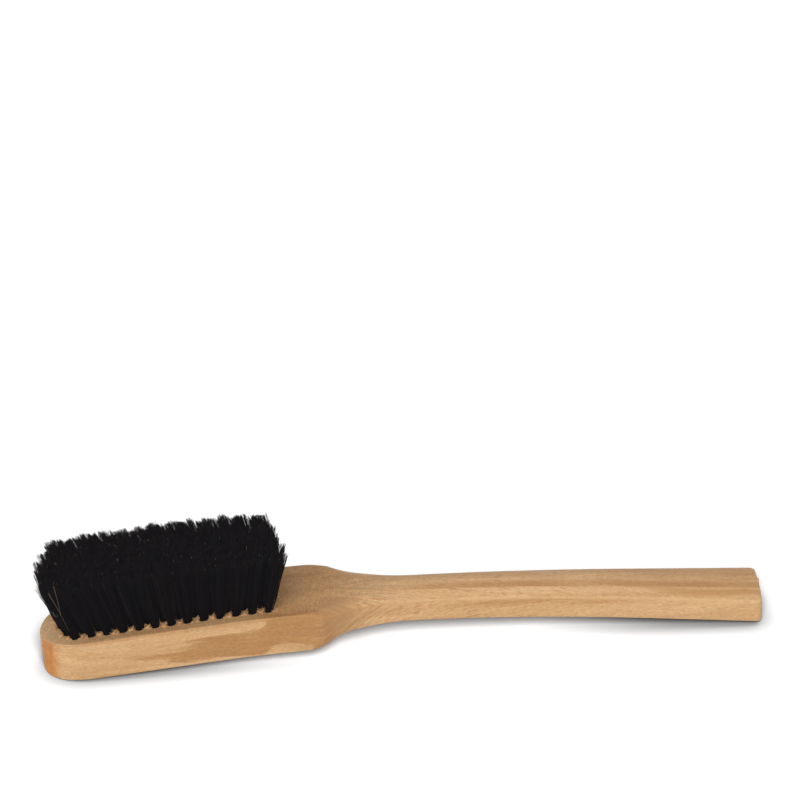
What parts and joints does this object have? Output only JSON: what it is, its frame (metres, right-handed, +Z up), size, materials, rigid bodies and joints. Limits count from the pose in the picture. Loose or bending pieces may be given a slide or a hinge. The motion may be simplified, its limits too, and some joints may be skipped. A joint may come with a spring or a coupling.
{
  "type": "horsehair bristle brush",
  "caption": "Long-handled clothes brush: a one-piece beech head and curved handle with rows of dark horsehair tufts, for brushing lint and dust off fabric.",
  "frame": {"origin": "on the ground, halfway along the brush and on the wood's plane of symmetry", "axes": "+X from the rounded front of the head towards the tip of the handle, +Y across the head, +Z up, the way the bristles point as the brush lies on its back"},
  "size_m": [0.3596, 0.0574, 0.0635],
  "materials": {
    "beech": "bare sanded beech, without varnish",
    "horsehair": "near-black natural hair, slightly glossy"
  },
  "bodies": {
    "root": {"head_and_handle": "beech", "bristle_row_1": "horsehair", "bristle_row_2": "horsehair", "bristle_row_3": "horsehair", "bristle_row_4": "horsehair", "bristle_row_5": "horsehair", "bristle_row_6": "horsehair"}
  },
  "joints": []
}
